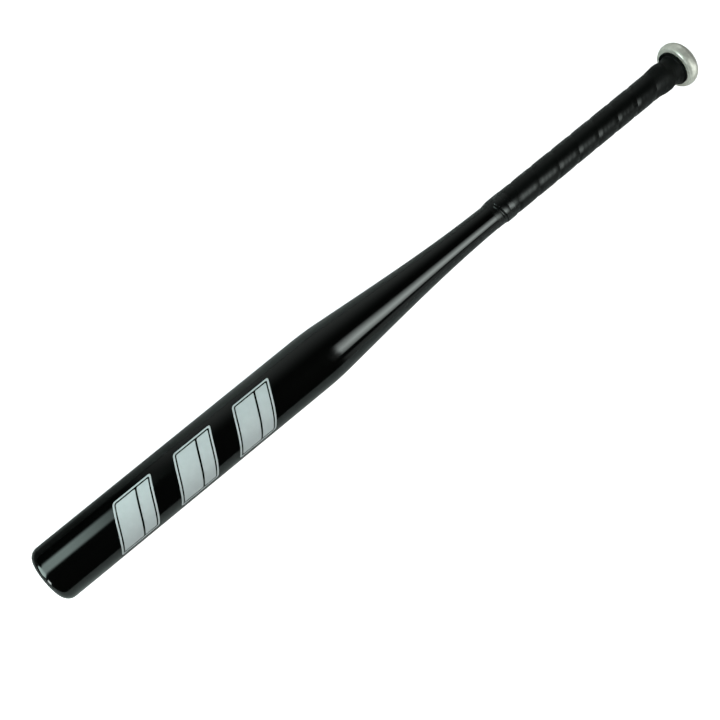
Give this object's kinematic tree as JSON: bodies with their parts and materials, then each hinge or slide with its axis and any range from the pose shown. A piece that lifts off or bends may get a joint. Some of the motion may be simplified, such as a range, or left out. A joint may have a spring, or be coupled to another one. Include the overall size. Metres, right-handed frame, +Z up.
{
  "type": "baseball bat",
  "caption": "One-piece aluminium baseball bat with a black painted barrel, plugged end, welded cast knob and spiral wrapped grip.",
  "frame": {"origin": "on the surface the bat lies on, under the middle of its length and under its axis", "axes": "+X along the bat's axis from the barrel end to the knob, +Z up, +Y across"},
  "size_m": [0.813, 0.057, 0.057],
  "materials": {
    "black_paint": "gloss black paint with a fine orange peel, over drawn aluminium alloy",
    "cap_rubber": "moulded black urethane rubber, satin",
    "foam": "closed-cell polyurethane foam, cut faces",
    "cast_aluminium": "cast, tumbled and lightly polished, bare",
    "weld_metal": "as welded",
    "plug_rubber": "moulded black rubber",
    "grip_leatherette": "black synthetic leather, fine grain, low sheen",
    "tape_vinyl": "black vinyl tape, semi-gloss",
    "silver_print": "silver-grey screen print on the black paint"
  },
  "bodies": {
    "root": {"barrel_tube": "black_paint", "end_cap": "cap_rubber", "foam_plug": "foam", "knob": "cast_aluminium", "weld_bead": "weld_metal", "vent_plug": "plug_rubber", "grip_wrap": "grip_leatherette", "finishing_tape": "tape_vinyl"}
  },
  "joints": []
}
